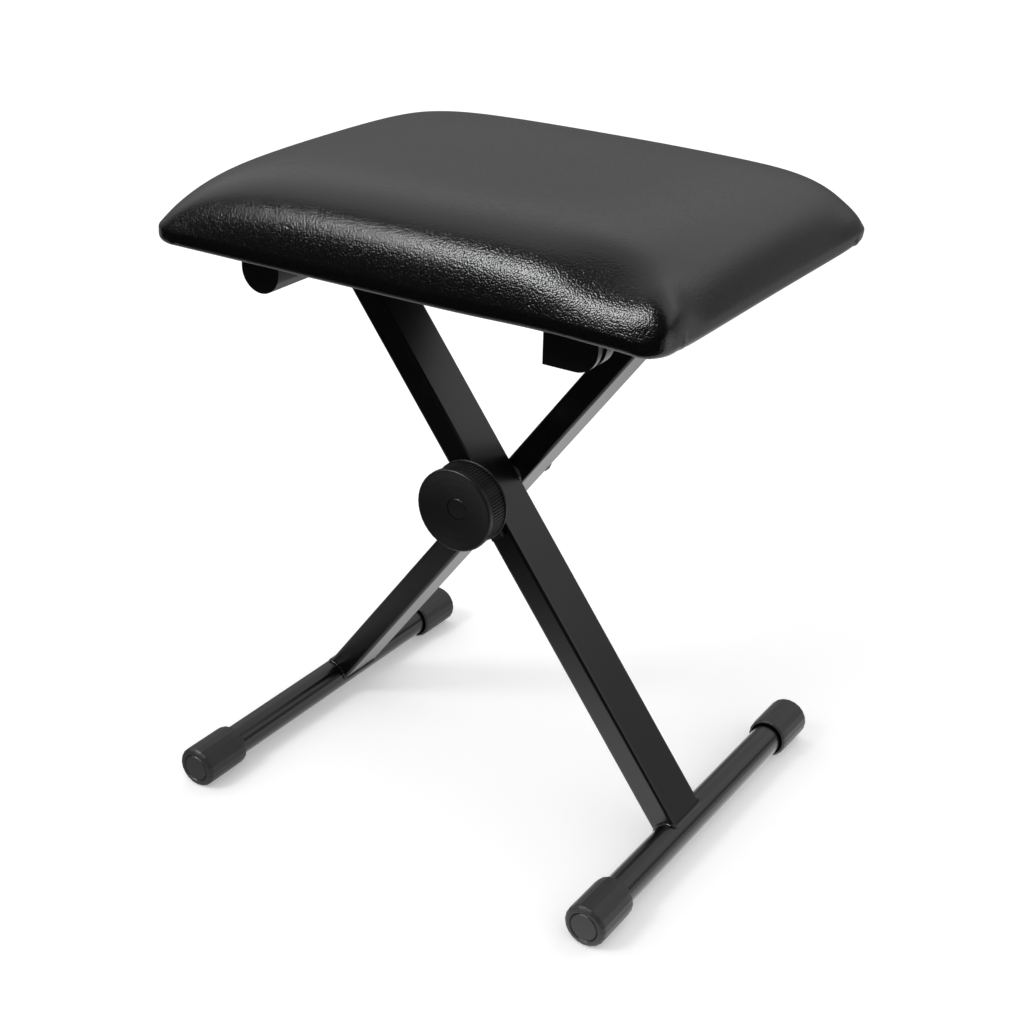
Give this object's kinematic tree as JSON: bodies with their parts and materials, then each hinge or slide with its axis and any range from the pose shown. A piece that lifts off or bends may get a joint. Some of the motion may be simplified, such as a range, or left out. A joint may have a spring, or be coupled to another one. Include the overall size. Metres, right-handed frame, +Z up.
{
  "type": "folding keyboard bench",
  "caption": "Folding cross-leg keyboard bench with a padded rectangular seat, rectangular tube legs clamped by a ribbed knob, and foot tubes with rubber caps.",
  "frame": {"origin": "on the floor, under the middle of the unfolded bench", "axes": "+Z up, +X from the left foot to the right foot, +Y away from the knob"},
  "size_m": [0.394, 0.331, 0.4816],
  "materials": {
    "powder_coat": "satin",
    "rubber": "matte",
    "knob_plastic": "satin",
    "nylon": "satin",
    "vinyl": "satin",
    "foam": "matte",
    "plywood": "matte",
    "dust_cloth": "matte",
    "zinc": "satin",
    "spring_steel": "satin"
  },
  "bodies": {
    "front_frame": {"front_leg": "powder_coat", "right_foot_tube": "powder_coat", "left_top_tube": "powder_coat", "right_foot_cap_front": "rubber", "right_foot_cap_back": "rubber", "left_top_plug_front": "nylon", "left_top_plug_back": "nylon", "front_lock_disc": "zinc", "front_crush_sleeve": "zinc", "knob_spacer": "nylon"},
    "rear_frame": {"rear_leg": "powder_coat", "left_foot_tube": "powder_coat", "right_top_tube": "powder_coat", "left_foot_cap_front": "rubber", "left_foot_cap_back": "rubber", "right_top_plug_front": "nylon", "right_top_plug_back": "nylon", "rear_lock_disc": "zinc", "rear_crush_sleeve": "zinc", "pivot_bolt": "zinc", "release_spring": "spring_steel"},
    "washer": {"thrust_washer": "zinc"},
    "knob": {"knob": "knob_plastic", "knob_insert": "zinc", "knob_cap": "knob_plastic"},
    "seat": {"seat_cover": "vinyl", "seat_foam": "foam", "seat_board": "plywood", "dust_cover": "dust_cloth", "hinge_block_front": "nylon", "hinge_block_back": "nylon", "slide_bracket_front": "nylon", "slide_bracket_back": "nylon", "hinge_screw_front_left": "zinc", "hinge_screw_front_right": "zinc", "slide_screw_front_left": "zinc", "slide_screw_front_right": "zinc", "hinge_screw_back_left": "zinc", "hinge_screw_back_right": "zinc", "slide_screw_back_left": "zinc", "slide_screw_back_right": "zinc"}
  },
  "joints": [
    {"name": "frame_fold", "type": "hinge", "parent": "front_frame", "child": "rear_frame", "pos_m": [-0.0044, 0, 0.2435], "axis": [0, -1, 0], "range_deg": [0, 65]},
    {"name": "seat_swing", "type": "hinge", "parent": "front_frame", "child": "seat", "pos_m": [-0.1279, -0.004, 0.40865], "axis": [0, -1, 0], "range_deg": [0, 32.5]},
    {"name": "knob_lift", "type": "slide", "parent": "front_frame", "child": "washer", "axis": [0, -1, 0], "range_m": [0, 0.003]},
    {"name": "knob_turn", "type": "hinge", "parent": "washer", "child": "knob", "pos_m": [-0.0044, 0, 0.2435], "axis": [0, -1, 0], "range_deg": [0, 720]}
  ],
  "couplings": [
    {"joint": "seat_swing", "follows": "frame_fold", "ratio": 0.5},
    {"joint": "knob_lift", "follows": "knob_turn", "m_per_rad": 0.00023873}
  ]
}
